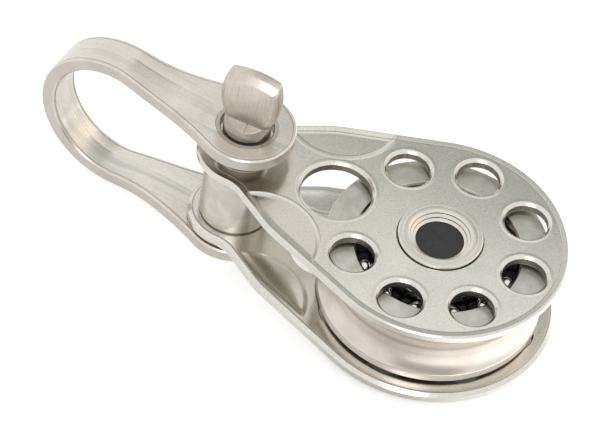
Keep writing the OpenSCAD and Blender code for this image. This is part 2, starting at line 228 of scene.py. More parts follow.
def steelMaterial(name, look):
    # one steel finish: mill finish, lines of its own direction, and a small bump from both
    material, tree, place, finish = startMaterial(name, look)
    if look["lines"] == "strap":
        vector = addNode(tree, "ShaderNodeUVMap", uv_map="strapLength").outputs[0]
    else:
        vector = place["Turned" if look["lines"] == "turned" else "Square"]
    if "lineTurn" in look:
        vector = addNode(tree, "ShaderNodeMapping", {"Vector": vector, "Rotation": look["lineTurn"]}).outputs[0]
    lines = placeGroup(tree, hairLines, {"Vector": vector, **fromLook(look, lineSockets)})
    tinted = blendColours(tree, times(tree, lines["Mask"], look["lineTone"]), finish["Colour"],
                          look["lineColour"])
    # pale painted highlights and darker painted reflections in soft bands round the sheave's groove
    for height, width, tone, amount in look.get("paintedBands", []):
        bandMask = placeGroup(tree, paintedBand, {"Vector": place["Turned"], "Height": height, "Width": width})["Mask"]
        tinted = blendColours(tree, times(tree, bandMask, amount), tinted, tone)
    if "dirtAndShade" in look:
        # dirt and painted shade in the fine grooves and round the holes, from values stored on the mesh's points
        amount, tone = look["dirtAndShade"]
        dirtAndShade = addNode(tree, "ShaderNodeAttribute", attribute_name="dirtAndShade").outputs["Fac"]
        tinted = blendColours(tree, times(tree, dirtAndShade, amount), tinted, tone)
    if "seat" in look:
        # painted shade in the seat round the head of the pin: radius, lowest height and tone
        radius, lowest, tone = look["seat"]
        parts = splitVector(tree, place["Turned"])
        seat = times(tree, spread(tree, parts[0], radius + 0.08, radius - 0.1),
                     spread(tree, parts[2], lowest, lowest + 0.2))
        tinted = blendColours(tree, seat, tinted, tone)
    rough = doMath(tree, "MULTIPLY_ADD", lines["Mask"], look["lineRough"], finish["Roughness"])
    height = doMath(tree, "MULTIPLY_ADD", lines["Height"], look["lineHeight"], finish["Height"])
    endIn(tree, addNode(tree, "ShaderNodeBsdfPrincipled", {
        "Base Color": tinted, "Metallic": 1.0, "Roughness": rough, "Normal": bumpFrom(tree, look, height)}))
    return material


pressedLook = {
    "colour": (0.715, 0.69, 0.63, 1), "shade": (0.65, 0.635, 0.58, 1), "speck": (0.88, 0.87, 0.82, 1),
    "cloudSize": 9.0, "cloudAmount": 0.8, "speckSize": 0.3, "speckAmount": 0.9, "mottle": 0.4, "roughness": 0.20,
    "swing": 0.14, "lines": "square", "lineTurn": (0.0, 0.0, 0.5), "across": 3.0, "along": 0.25, "depth": 0.0,
    "level": 0.54, "lineTone": 0.35, "lineColour": (0.80, 0.78, 0.73, 1), "lineRough": 0.04, "lineHeight": 0.5,
    "bump": 0.42, "bumpDepth": 0.02, "dirtAndShade": (0.7, (0.24, 0.22, 0.19, 1))}
# the sheared walls of the holes: rougher steel, darkened with painted shade
shadedCutLook = {**pressedLook, "colour": (0.26, 0.24, 0.21, 1), "shade": (0.18, 0.165, 0.145, 1), "mottle": 0.1,
           "roughness": 0.42}
turnedLook = {
    "colour": (0.75, 0.69, 0.63, 1), "shade": (0.66, 0.61, 0.55, 1), "speck": (0.62, 0.58, 0.54, 1),
    "cloudSize": 5.0, "cloudAmount": 0.6, "speckSize": 0.5, "speckAmount": 0.25, "mottle": 0.15, "roughness": 0.30,
    "swing": 0.10, "lines": "turned", "across": 7.0, "along": 0.5, "depth": 7.0, "level": 0.5, "lineTone": 0.3,
    "lineColour": (0.66, 0.61, 0.55, 1), "lineRough": 0.05, "lineHeight": 0.7, "bump": 0.15, "bumpDepth": 0.02}
flangeLook = {**turnedLook, "colour": (0.74, 0.71, 0.65, 1), "shade": (0.68, 0.66, 0.60, 1), "roughness": 0.2,
              "lineColour": (0.62, 0.60, 0.55, 1)}
groundLook = {**turnedLook, "colour": (0.60, 0.60, 0.57, 1), "shade": (0.50, 0.50, 0.48, 1), "roughness": 0.2,
              "lineColour": (0.5, 0.5, 0.48, 1)}
sheaveLook = {**turnedLook, "shade": (0.62, 0.565, 0.505, 1), "roughness": 0.28, "swing": 0.08,
              # pale painted highlights and darker painted reflections round the groove: height, width, tone,
              # amount
              "paintedBands": [(1.9, 1.1, (0.92, 0.86, 0.80, 1), 0.75), (0.3, 0.55, (0.38, 0.32, 0.26, 1), 0.5),
                       (-1.3, 0.4, (0.50, 0.46, 0.41, 1), 0.25), (-5.0, 0.9, (0.90, 0.85, 0.78, 1), 0.4)]}
sheaveSideLook = {**turnedLook, "colour": (0.70, 0.695, 0.65, 1), "shade": (0.52, 0.51, 0.46, 1), "cloudSize": 3.0,
                  "cloudAmount": 0.9, "roughness": 0.38, "along": 1.2, "lineTone": 0.45,
                  "lineColour": (0.48, 0.47, 0.43, 1)}
postLook = {**turnedLook, "axis": pinPlace, "colour": (0.76, 0.74, 0.68, 1), "shade": (0.56, 0.54, 0.49, 1),
            "cloudSize": 4.0, "cloudAmount": 0.8, "roughness": 0.34, "mottle": 0.3, "lineTone": 0.1,
            "lineHeight": 0.2, "bump": 0.12}
strapLook = {
    "colour": (0.77, 0.74, 0.68, 1), "shade": (0.68, 0.64, 0.59, 1), "speck": (0.50, 0.49, 0.46, 1),
    "cloudSize": 5.0, "cloudAmount": 0.7, "speckSize": 0.4, "speckAmount": 0.5, "mottle": 0.2, "roughness": 0.25,
    # the seat's tone is painted shade round the head of the pin
    "axis": pinPlace, "seat": (5.3, 13.6, (0.47, 0.47, 0.43, 1)), "dirtAndShade": (0.6, (0.27, 0.25, 0.22, 1)),
    "swing": 0.10, "lines": "strap", "across": 0.02, "along": 0.42, "depth": 0.0, "level": 0.52, "lineTone": 0.75,
    "lineColour": (0.52, 0.52, 0.48, 1), "lineRough": 0.05, "lineHeight": 0.4, "bump": 0.14, "bumpDepth": 0.03}
strapSideLook = {**strapLook, "colour": (0.62, 0.575, 0.535, 1), "shade": (0.54, 0.50, 0.46, 1), "lineTone": 0.3,
                 "roughness": 0.3}
pinLook = {
    "colour": (0.72, 0.665, 0.60, 1), "shade": (0.50, 0.46, 0.41, 1), "speck": (0.80, 0.77, 0.72, 1),
    "cloudSize": 3.0, "cloudAmount": 0.6, "speckSize": 0.3, "speckAmount": 0.3, "mottle": 0.15, "roughness": 0.3,
    "swing": 0.10, "lines": "square", "across": 5.0, "along": 5.0, "depth": 0.25, "level": 0.5, "lineTone": 0.5,
    "lineColour": (0.48, 0.445, 0.40, 1), "lineRough": 0.06, "lineHeight": 1.2, "bump": 0.16, "bumpDepth": 0.03}
# the pin's narrow sides: the same steel, darker with painted shade
shadedPinSideLook = {**pinLook, "colour": (0.47, 0.41, 0.355, 1), "shade": (0.38, 0.33, 0.28, 1), "roughness": 0.36}
ballLook = {**groundLook, "colour": (0.80, 0.80, 0.79, 1), "shade": (0.76, 0.76, 0.75, 1), "roughness": 0.07,
            "swing": 0.03, "speckAmount": 0.1, "mottle": 0.0, "lineTone": 0.05, "lineRough": 0.0, "bump": 0.02}


def plasticMaterial(name, look):
    material, tree, _, finish = startMaterial(name, look)
    endIn(tree, addNode(tree, "ShaderNodeBsdfPrincipled", {
        "Base Color": finish["Colour"], "Roughness": finish["Roughness"], "Specular IOR Level": look["sheen"],
        "Normal": bumpFrom(tree, look, finish["Height"])}))
    return material


plasticLook = {
    "colour": (0.022, 0.023, 0.024, 1), "shade": (0.034, 0.035, 0.036, 1), "speck": (0.12, 0.12, 0.12, 1),
    "cloudSize": 1.5, "cloudAmount": 0.8, "speckSize": 0.25, "speckAmount": 0.5, "mottle": 0.1, "roughness": 0.5,
    "swing": 0.12, "bump": 0.3, "bumpDepth": 0.03, "sheen": 0.4}

pressedSteel = steelMaterial("pressedSteel", pressedLook)
shadedCutEdge = steelMaterial("shadedCutEdge", shadedCutLook)
sheaveSteel = steelMaterial("sheaveSteel", sheaveLook)
flangeSteel = steelMaterial("flangeSteel", flangeLook)
groundSteel = steelMaterial("groundSteel", groundLook)
postSteel = steelMaterial("postSteel", postLook)
polishedStrap = steelMaterial("polishedStrap", strapLook)
strapSides = steelMaterial("strapSides", strapSideLook)
satinPin = steelMaterial("satinPin", pinLook)
shadedPinSides = steelMaterial("shadedPinSides", shadedPinSideLook)
sheaveSides = steelMaterial("sheaveSides", sheaveSideLook)
polishedBalls = steelMaterial("polishedBalls", ballLook)
blackPlastic = plasticMaterial("blackPlastic", plasticLook)
print("materials ready")


# helpers for meshes drawn in millimetres

def unitRows(vectors):
    return vectors / np.maximum(np.linalg.norm(vectors, axis=1, keepdims=True), 1e-9)


def makePiece(name, points, faces, normals, material, body, replaced):
    # points in millimetres, one normal for each point
    mesh = bpy.data.meshes.new(name)
    mesh.from_pydata((np.asarray(points) * mm).tolist(), [], faces)
    mesh.polygons.foreach_set("use_smooth", np.ones(len(mesh.polygons), bool))
    mesh.normals_split_custom_set_from_vertices(unitRows(normals).tolist())
    mesh.validate()
    mesh.materials.append(material)
    piece = bpy.data.objects.new(name, mesh)
    bpy.context.scene.collection.objects.link(piece)
    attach(piece, body)
    for node in replaced:
        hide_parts(node)
    return piece


def addDirtAndShade(piece, values):
    # one value for each point: how much dirt and painted shade lies there
    layer = piece.data.attributes.new("dirtAndShade", "FLOAT", "POINT")
    layer.data.foreach_set("value", np.asarray(values, np.float32))


def addSecond(piece, material, mask):
    # a second material on the faces of the mask
    piece.data.materials.append(material)
    piece.data.polygons.foreach_set("material_index", np.asarray(mask, np.int32))


def nearLine(distance, place, width):
    return np.exp(-((distance - place) / width) ** 2)


def beyond(points, centre, radius):
    # distance outside a circle
    return np.linalg.norm(points - centre, axis=1) - radius


def turnMatrix(degrees):
    # a turn about the upright axis
    c, s = math.cos(math.radians(degrees)), math.sin(math.radians(degrees))
    return np.array([[c, -s, 0], [s, c, 0], [0, 0, 1]])


def arcPoints(centre, radius, start, end, step=3.0):
    count = max(2, int(math.ceil(abs(end - start) / step)))
    angles = np.radians(np.linspace(start, end, count + 1))
    return np.stack([centre[0] + radius * np.cos(angles), centre[1] + radius * np.sin(angles)], 1)


def resample(line, spacing):
    # a closed line with its points at equal distances
    line = np.asarray(line)
    closed = np.vstack([line, line[:1]])
    lengths = np.linalg.norm(np.diff(closed, axis=0), axis=1)
    keep = np.concatenate([[True], lengths[:-1] > 1e-6])
    line = line[keep]
    closed = np.vstack([line, line[:1]])
    along = np.concatenate([[0], np.cumsum(np.linalg.norm(np.diff(closed, axis=0), axis=1))])
    count = int(round(along[-1] / spacing))
    at = np.linspace(0, along[-1], count, endpoint=False)
    return np.stack([np.interp(at, along, closed[:, k]) for k in (0, 1)], 1)


def inwardOf(line):
    # unit vectors to the left of a closed anticlockwise line
    ahead = unitRows(np.roll(line, -1, 0) - np.roll(line, 1, 0))
    return np.stack([-ahead[:, 1], ahead[:, 0]], 1)


def distanceTo(points, line):
    # distance from each point to a smooth anticlockwise line, positive inside it
    tree = KDTree(len(line))
    for k, (x, y) in enumerate(line):
        tree.insert((x, y, 0), k)
    tree.balance()
    nearest = np.array([tree.find((x, y, 0))[1] for x, y in points])
    best = np.full(len(points), 1e9)
    signed = np.zeros(len(points))
    for first in (nearest - 1, nearest):
        start = line[first]
        along = line[(first + 1) % len(line)] - start
        away = points - start
        share = np.clip((away * along).sum(1) / (along * along).sum(1), 0, 1)
        gap = np.linalg.norm(away - share[:, None] * along, axis=1)
        side = along[:, 0] * away[:, 1] - along[:, 1] * away[:, 0]
        closer = gap < best
        best = np.where(closer, gap, best)
        signed = np.where(closer, np.copysign(gap, side), signed)
    return signed


def plateSheet(outline, holes, rows, holeRows, marks):
    # triangles of a flat blank, with rows of points along its edge, round its holes and on the marks
    inward = inwardOf(outline)
    lines = [(outline + row * inward, True) for row in rows]
    lines += [(arcPoints(centre, radius + row, 0, 360, 4.0)[:-1], True)
              for centre, radius in holes for row in holeRows]
    for mark in marks:
        whole = np.linalg.norm(mark[0] - mark[-1]) < 1e-6
        lines.append((mark[:-1] if whole else mark, whole))
    points, edges = [], []
    for line, isClosed in lines:
        first = len(points)
        points.extend(line.tolist())
        edges.extend((first + k, first + k + 1) for k in range(len(line) - 1))
        if isClosed:
            edges.append((first + len(line) - 1, first))
    made = delaunay_2d_cdt([Vector(p) for p in points], edges, [], 0, 1e-5)
    flat = np.array([tuple(v) for v in made[0]])
    triangles = np.array(made[2])
    middles = flat[triangles].mean(1)
    keep = distanceTo(middles, outline) > 0
    for centre, radius in holes:
        keep &= np.linalg.norm(middles - centre, axis=1) > 0.999 * radius
    triangles = triangles[keep]
    a, b, c = (flat[triangles[:, k]] for k in range(3))
    turn = (b - a)[:, 0] * (c - a)[:, 1] - (b - a)[:, 1] * (c - a)[:, 0]
    triangles[turn < 0] = triangles[turn < 0][:, ::-1]
    triangles = triangles[np.abs(turn) > 1e-9]
    used = np.unique(triangles)
    renumber = np.zeros(len(flat), int)
    renumber[used] = np.arange(len(used))
    return flat[used], renumber[triangles]


def borderEdges(triangles):
    # edges with a triangle on one side only, in the direction of that triangle
    edges = np.vstack([triangles[:, [0, 1]], triangles[:, [1, 2]], triangles[:, [2, 0]]])
    seen = {tuple(e) for e in edges.tolist()}
    return [e for e in map(tuple, edges.tolist()) if (e[1], e[0]) not in seen]


def slopes(heightOf, flat, size=0.004):
    across, up = np.array([size, 0]), np.array([0, size])
    return np.stack([(heightOf(flat + across) - heightOf(flat - across)) / (2 * size),
                     (heightOf(flat + up) - heightOf(flat - up)) / (2 * size)], 1)


def plateSolid(flat, triangles, topOf, bottomOf):
    # a plate between two height functions: points, normals and faces
    count = len(flat)
    topSlope, bottomSlope = slopes(topOf, flat), slopes(bottomOf, flat)
    points = np.vstack([np.column_stack([flat, topOf(flat)]), np.column_stack([flat, bottomOf(flat)])])
    normals = np.vstack([np.column_stack([-topSlope, np.ones(count)]),
                         np.column_stack([bottomSlope, -np.ones(count)])])
    border = borderEdges(triangles)
    outward = np.zeros((count, 2))
    for a, b in border:
        along = flat[b] - flat[a]
        side = np.array([along[1], -along[0]]) / max(np.linalg.norm(along), 1e-9)
        outward[a] += side
        outward[b] += side
    edge = np.linalg.norm(outward, axis=1) > 0
    level = np.column_stack([outward, np.zeros(count)])
    normals[:count][edge] = level[edge]
    normals[count:][edge] = level[edge]
    faces = triangles.tolist() + (triangles[:, ::-1] + count).tolist()
    walls = [(a, a + count, b + count, b) for a, b in border]
    return points, normals, faces, walls


def roundOver(distance, radius):
    # drop of a rounded edge at a distance inside it
    inside = np.clip(distance, 0, radius)
    return radius - np.sqrt(np.maximum(radius ** 2 - (radius - inside) ** 2, 0))


def softFrom(value, soft=0.025):
    # zero where the value is negative and the value elsewhere, with a soft corner
    return soft * np.log1p(np.exp(np.clip(value / soft, -30, 30)))


def easeStep(value, low, high):
    t = np.clip((value - low) / (high - low), 0, 1)
    return t * t * (3 - 2 * t)


cheek = {
    "bodyRadius": 21.4, "shoulderX": 18.97, "shoulderRadius": 14.6, "neckAngle": 32.0, "headRadius": 7.8,
    "filletRadius": 6.0, "pinX": -pinPlace, "inner": 6.55, "outer": 8.35, "smallRadius": 3.69, "smallRing": 15.3,
    "largeRadius": 6.0, "axleRadius": 5.05, "spigotRadius": 5.25, "seatRadius": 7.15, "seatDepth": 0.4,
    "scallopX": 25.47, "scallopY": 16.0, "scallopRadius": 9.9, "scallopDepth": 0.25, "scallopLip": 0.035,
    "scallopBulge": 0.2, "edgeBevel": 0.27, "rimBevel": 0.6, "rimLine": 0.04, "rimLineIn": 0.76,
    "bandStart": 0.34, "bandEnd": 1.25, "bandRise": 0.1, "bandLine": 0.05, "holeBevel": 0.5, "holeLip": 0.05,
    "holeLipEnd": 1.15, "pointSpacing": 0.45,
    # the widths of the lines and the two ends of each slope
    "tiltLeast": 0.3, "tiltMore": 0.7, "tiltY": (-9.0, 4.0), "tiltX": (-36.0, -26.0), "bandLineWidth": 0.06,
    "holeSoft": 0.05, "holeLipStart": 0.3, "seatIn": 0.02, "seatOut": 0.12, "scallopRun": (0.3, 1.9),
    "scallopSlope": (-0.7, 0.1), "lipUp": (-0.3, 0.06), "lipDown": (0.06, 0.45), "rimLineWidth": 0.07,
    "bulgeRun": (1.2, 2.6), "bulgeSlope": (-0.9, 0.0), "holeRound": 0.2,
    # the widths, places and shares of the dirt and painted shade
    "bandDirt": 0.08, "seatDirt": 0.1, "seatDirtOut": 0.06, "scallopDirt": 0.14, "scallopDirtOut": -0.45,
    "scallopDirtShare": 0.5, "scallopDirtRun": (0.3, 1.4), "holeShade": 0.1, "holeShadeShare": 0.15,
    "rimDirt": 0.09,
    # where points stand: in from the edge, out from the holes, across the scallop's arc, and on the seat
    "edgeRows": [0, 0.012, 0.06, 0.13, 0.2, 0.25, 0.3, 0.36, 0.45, 0.53, 0.58, 0.63, 0.68, 0.72, 0.76, 0.80, 0.85,
                 0.95, 1.05, 1.13, 1.18, 1.22, 1.25, 1.28, 1.32, 1.38, 1.5, 1.9],
    "holeRows": [0, 0.02, 0.1, 0.2, 0.3, 0.37, 0.43, 0.5, 0.57, 0.65, 0.75, 0.85, 0.95, 1.05, 1.15, 1.3],
    "scallopRows": [-0.9, -0.5, -0.25, -0.12, -0.06, 0.0, 0.06, 0.12, 0.2, 0.3, 0.45],
    "seatRows": [7.0, 7.09, 7.15, 7.19, 7.25, 7.32, 7.4]}


def cheekOutline(c):
    lean = math.degrees(math.asin((c["bodyRadius"] - c["shoulderRadius"]) / c["shoulderX"]))
    slope = math.radians(c["neckAngle"])
    neck = np.array([-math.sin(slope), math.cos(slope)])
    shoulder, pin = np.array([-c["shoulderX"], 0]), np.array([-c["pinX"], 0])
    neckTop = shoulder + c["shoulderRadius"] * neck
    neckX = neckTop[0] - (neckTop[1] - c["headRadius"]) / math.tan(slope)
    fillet = np.array([neckX - c["filletRadius"] * math.tan(slope / 2), c["headRadius"] + c["filletRadius"]])
    half = np.vstack([
        arcPoints((0, 0), c["bodyRadius"], 0, 90 + lean),
        arcPoints(shoulder, c["shoulderRadius"], 90 + lean, 90 + c["neckAngle"]),
        arcPoints(fillet, c["filletRadius"], c["neckAngle"] - 90, -90),
        arcPoints(pin, c["headRadius"], 90, 180)])
    return resample(np.vstack([half, half[::-1][1:-1] * [1, -1]]), c["pointSpacing"])


def buildCheeks(c):
    outline = cheekOutline(c)
    turns = [math.radians(a) for a in range(-135, 180, 45)]
    dressed = [((c["smallRing"] * math.cos(a), c["smallRing"] * math.sin(a)), c["smallRadius"]) for a in turns]
    dressed.append(((-c["shoulderX"], 0), c["largeRadius"]))
    plain = [((0, 0), c["axleRadius"]), ((-c["pinX"], 0), c["spigotRadius"])]
    scallops = [(-c["scallopX"], side * c["scallopY"]) for side in (1, -1)]
    marks = [arcPoints(centre, c["scallopRadius"] + row, start, start + 220, 2.5)
             for centre, start in zip(scallops, (-200, -20)) for row in c["scallopRows"]]
    marks += [arcPoints((0, 0), radius, 0, 360, 3.0) for radius in c["seatRows"]]
    flat, triangles = plateSheet(outline, dressed + plain, c["edgeRows"], c["holeRows"], marks)

    def topOf(p):
        edge = distanceTo(p, outline)
        drop = softFrom(c["edgeBevel"] - edge)
        # the band beside the edge tips up a little and ends in a thin line
        tilt = c["tiltLeast"] + c["tiltMore"] * easeStep(-p[:, 1], *c["tiltY"]) * easeStep(p[:, 0], *c["tiltX"])
        drop -= c["bandRise"] * tilt * np.clip((c["bandEnd"] - edge) / (c["bandEnd"] - c["bandStart"]), 0, 1)
        drop += c["bandLine"] * nearLine(edge, c["bandEnd"], c["bandLineWidth"])
        for centre, radius in dressed:
            out = beyond(p, centre, radius)
            drop += softFrom(c["holeBevel"] - out, c["holeSoft"])
            drop -= c["holeLip"] * (1 - easeStep(out, c["holeLipStart"], c["holeLipEnd"]))
        away = np.linalg.norm(p, axis=1)
        seat = 1 - easeStep(away, c["seatRadius"] - c["seatIn"], c["seatRadius"] + c["seatOut"])
        drop += c["seatDepth"] * seat
        inner = easeStep(edge, *c["scallopRun"])  # the scallop runs out into the edge band
        for centre in scallops:
            out = beyond(p, centre, c["scallopRadius"])
            drop += inner * c["scallopDepth"] * (1 - easeStep(out, *c["scallopSlope"]))
            drop -= inner * c["scallopLip"] * easeStep(out, *c["lipUp"]) * (1 - easeStep(out, *c["lipDown"]))
        return c["outer"] - drop

    def bottomOf(p):
        edge = distanceTo(p, outline)
        rise = softFrom(c["rimBevel"] - edge) + c["rimLine"] * nearLine(edge, c["rimLineIn"], c["rimLineWidth"])
        for centre in scallops:
            out = beyond(p, centre, c["scallopRadius"])
            rise -= c["scallopBulge"] * easeStep(edge, *c["bulgeRun"]) * (1 - easeStep(out, *c["bulgeSlope"]))
        for centre, radius in dressed:
            rise += roundOver(beyond(p, centre, radius), c["holeRound"])
        return c["inner"] + rise

    def dirtAndShadeOf(p):
        # dirt and painted shade beside the band, round the flange and along the scallops, painted shade round the
        # holes, and dirt on the inner rim
        edge = distanceTo(p, outline)
        top = nearLine(edge, c["bandEnd"], c["bandDirt"])
        top += nearLine(np.linalg.norm(p, axis=1), c["seatRadius"] + c["seatDirtOut"], c["seatDirt"])
        for centre in scallops:
            dirt = nearLine(beyond(p, centre, c["scallopRadius"]), c["scallopDirtOut"], c["scallopDirt"])
            top += c["scallopDirtShare"] * dirt * easeStep(edge, *c["scallopDirtRun"])
        for centre, radius in dressed:
            top += c["holeShadeShare"] * nearLine(beyond(p, centre, radius), c["holeLipEnd"], c["holeShade"])
        return np.concatenate([np.clip(top, 0, 1), nearLine(edge, c["rimLineIn"], c["rimDirt"])])

    points, normals, faces, walls = plateSolid(flat, triangles, topOf, bottomOf)
    # the walls of the dressed holes take the cut edge, darkened with painted shade
    starts = np.array([points[wall[0]][:2] for wall in walls])
    punched = np.zeros(len(faces) + len(walls), bool)
    for centre, radius in dressed:
        punched[len(faces):] |= np.linalg.norm(starts - centre, axis=1) < radius + 0.1
    faces += walls
    flip = np.array([1, 1, -1])
    upper = makePiece("upperCheek", points, faces, normals, pressedSteel, "block",
                      ["cheek_upper"])
    lower = makePiece("lowerCheek", points * flip, [f[::-1] for f in faces], normals * flip, pressedSteel,
                      "block", ["cheek_lower"])
    for piece in (upper, lower):
        addDirtAndShade(piece, dirtAndShadeOf(flat))
        addSecond(piece, shadedCutEdge, punched)


buildCheeks(cheek)
print("cheeks pressed")


strap = {
    "pinX": pinPlace, "middleZ": 1.6, "swing": 4.4, "thick": 2.4, "earRadius": 8.2, "halfWidth": 3.4,
    "waistX": 25.0, "armHeight": 11.45, "flareX": 13.2069, "flareY": 51.45, "flareRadius": 40.0, "crownX": 23.4,
    "crownRadius": 12.45, "upperHole": 4.45, "lowerHole": 4.05, "edgeBevel": 0.25, "lineIn": 0.55,
    "lineWidth": 0.11, "lineDepth": 0.09, "creaseAcross": 0.8, "creaseWidth": 0.3, "creaseDepth": 0.045,
    "creaseEnd": 14.0, "creaseStep": 0.9, "creaseRows": 0.15, "seatRadius": 5.3, "seatDepth": 0.07,
    "pointSpacing": 0.5, "bendStart": 3, "bendStep": 0.45, "bendSide": 9.5, "armRun": (13.0, 20.0),
    "lineLeast": 0.35, "lineMore": 0.65, "holeRound": 0.25, "seatIn": 0.08, "seatOut": 0.04, "dirtWidth": 0.09,
    "edgeRows": [0, 0.012, 0.06, 0.13, 0.19, 0.23, 0.28, 0.34, 0.41, 0.46, 0.51, 0.55, 0.59, 0.64, 0.7, 0.8],
    "holeRows": [0, 0.015, 0.05, 0.11, 0.19, 0.25, 0.3, 0.75, 0.8, 0.85, 0.9, 0.95]}


def strapPath(s):
    # mid line of the strap in side view, from the upper ear round the crown to the lower ear
    turn = math.atan((s["crownX"] - s["flareX"]) / s["flareY"])
    arm = np.array([[-s["earRadius"], s["armHeight"]], [s["flareX"], s["armHeight"]]])
    flare = arcPoints((s["flareX"], s["flareY"]), s["flareRadius"], -90, math.degrees(turn) - 90, 0.1)
    start = 90 + math.degrees(turn)
    crown = arcPoints((s["crownX"], 0), s["crownRadius"], start, 0, 0.25)
    half = np.vstack([arm, flare[1:], crown[1:]])
    line = np.vstack([half, half[::-1][1:] * [1, -1]])
    along = np.concatenate([[0], np.cumsum(np.linalg.norm(np.diff(line, axis=0), axis=1))])
    return line, along


def buildStrap(s):
    line, along = strapPath(s)
    ahead = unitRows(np.gradient(line, along, axis=0))
    length = along[-1]
    # half width of the blank at each distance along it
    waistRadius = (s["waistX"] ** 2 / (s["earRadius"] - s["halfWidth"]) - s["earRadius"] - s["halfWidth"]) / 2
    waistY = s["halfWidth"] + waistRadius
    touch = math.degrees(math.atan2(waistY, s["waistX"]))
    ear = arcPoints((s["earRadius"], 0), s["earRadius"], 180, touch, 3.0)
    edgeX = np.linspace(s["earRadius"] * math.cos(math.radians(touch)), s["waistX"], 60)
    edgeY = waistY - np.sqrt(waistRadius ** 2 - (edgeX - s["waistX"]) ** 2)
    count = np.searchsorted(along, length / 2)
    edgeS = np.interp(edgeX, line[:count, 0], along[:count])
    edge = np.column_stack([edgeS, edgeY])
    quarter = np.vstack([ear[1:], edge[1:], [[length / 2, s["halfWidth"]]]])
    tip = np.array([[0.0, 0.0]])
    upperSide = np.vstack([tip, quarter, (quarter[::-1] * [-1, 1] + [length, 0])[1:], [[length, 0]]])
    closed = np.vstack([upperSide, upperSide[::-1][1:-1] * [1, -1]])[::-1]
    outline = resample(closed, s["pointSpacing"])
    holes = [((s["earRadius"], 0), s["upperHole"]), ((length - s["earRadius"], 0), s["lowerHole"])]
    bendStart = 2 * s["earRadius"] + s["bendStart"]
    marks = [np.array([(at, -s["bendSide"]), (at, s["bendSide"])])
             for at in np.arange(bendStart, length - bendStart, s["bendStep"])]
    creaseAt = np.arange(s["creaseEnd"], length - s["creaseEnd"], s["creaseStep"])
    marks += [np.column_stack([creaseAt, np.full(len(creaseAt), s["creaseAcross"] + k * s["creaseRows"])])
              for k in range(-3, 4)]
    flat, triangles = plateSheet(outline, holes, s["edgeRows"], s["holeRows"], marks)
    half = s["thick"] / 2

    def topOf(p):
        edge = distanceTo(p, outline)
        arm = easeStep(np.minimum(p[:, 0], length - p[:, 0]), *s["armRun"])
        depth = (s["lineLeast"] + s["lineMore"] * arm) * s["lineDepth"]
        drop = softFrom(s["edgeBevel"] - edge)
        drop += depth * nearLine(edge, s["lineIn"], s["lineWidth"])
        drop += arm * s["creaseDepth"] * nearLine(p[:, 1], s["creaseAcross"], s["creaseWidth"])
        for centre, radius in holes:
            drop += roundOver(beyond(p, centre, radius), s["holeRound"])
        return half - drop

    def outerOf(p):
        # the outer face has a shallow seat round the head of the pin
        away = np.linalg.norm(p - holes[0][0], axis=1)
        seat = 1 - easeStep(away, s["seatRadius"] - s["seatIn"], s["seatRadius"] + s["seatOut"])
        return topOf(p) - s["seatDepth"] * seat

    points, normals, faces, walls = plateSolid(flat, triangles, outerOf, lambda p: -topOf(p))
    dirtAndShadeValues = nearLine(distanceTo(flat, outline), s["lineIn"], s["dirtWidth"])
    faces += walls
    at = points[:, 0]
    middle = np.stack([np.interp(at, along, line[:, k]) for k in (0, 1)], 1)
    forward = unitRows(np.stack([np.interp(at, along, ahead[:, k]) for k in (0, 1)], 1))
    outward = np.stack([-forward[:, 1], forward[:, 0]], 1)
    side = middle + points[:, 2:3] * outward
    bent = np.column_stack([side[:, 0], -points[:, 1], side[:, 1]])
    bentNormals = np.column_stack([
        normals[:, 0] * forward[:, 0] + normals[:, 2] * outward[:, 0], -normals[:, 1],
        normals[:, 0] * forward[:, 1] + normals[:, 2] * outward[:, 1]])
    spin = turnMatrix(180 - s["swing"])
    placed = bent @ spin.T + [s["pinX"], 0, s["middleZ"]]
    piece = makePiece("shackleStrap", placed, [f[::-1] for f in faces], bentNormals @ spin.T, polishedStrap,
                      "shackle", ["shackle_bow"])
    addDirtAndShade(piece, np.tile(dirtAndShadeValues, 2))
    addSecond(piece, strapSides, np.arange(len(faces)) >= len(faces) - len(walls))
    layer = piece.data.uv_layers.new(name="strapLength")
    corners = np.zeros(len(piece.data.loops), np.int32)
    piece.data.loops.foreach_get("vertex_index", corners)
    layer.data.foreach_set("uv", points[corners][:, :2].astype(np.float32).ravel())


buildStrap(strap)
print("strap bent")


pin = {"pinX": pinPlace, "turn": 2.6, "radius": 4.0, "base": -11.05, "earTop": 14.25, "tabHeight": 11.9,
       "halfWidth": 5.15, "wideZ": 7.0, "sideRadius": 12.1, "topRadius": 13.0, "thick": 3.0, "neck": 1.8,
       "corner": 0.7, "bevel": 1.15, "sideBevel": 0.6, "backBevel": 0.25, "scoreX": 0.35, "scoreWidth": 0.13,
       "scoreDepth": 0.14, "soft": 0.035, "columns": 288, "crowdBy": 5, "crowdAt": 0.3, "crowdWidth": 0.12,
       "heart": 5.0, "farthest": 16.0, "halvings": 44, "slopeStep": 0.01, "dullFrom": 0.78, "shankEase": 0.9,
       "frontSoft": 0.6, "crowdSamples": 4000,
       # rows of points: angles of the rays from the heart, then heights over the ear, each first, last, count
       "rises": [(89.5, 62, 56), (61.5, 0, 70)], "levels": [(4.9, 2.4, 14), (2.3, 0.02, 40)],
       # rings of the plain end: height over its end, radius and lean of the surface
       "endRings": [(0.62, 4.0, 0.0), (0.5, 3.98, 0.3), (0.42, 3.92, 0.7), (0.08, 3.58, 0.8), (0.02, 3.5, 1.5),
                    (0.0, 3.4, 9.0), (0.0, 0.02, 99.0)]}


def softMax(values, soft):
    top = np.maximum.reduce(values)
    return top + soft * np.log(sum(np.exp((v - top) / soft) for v in values))


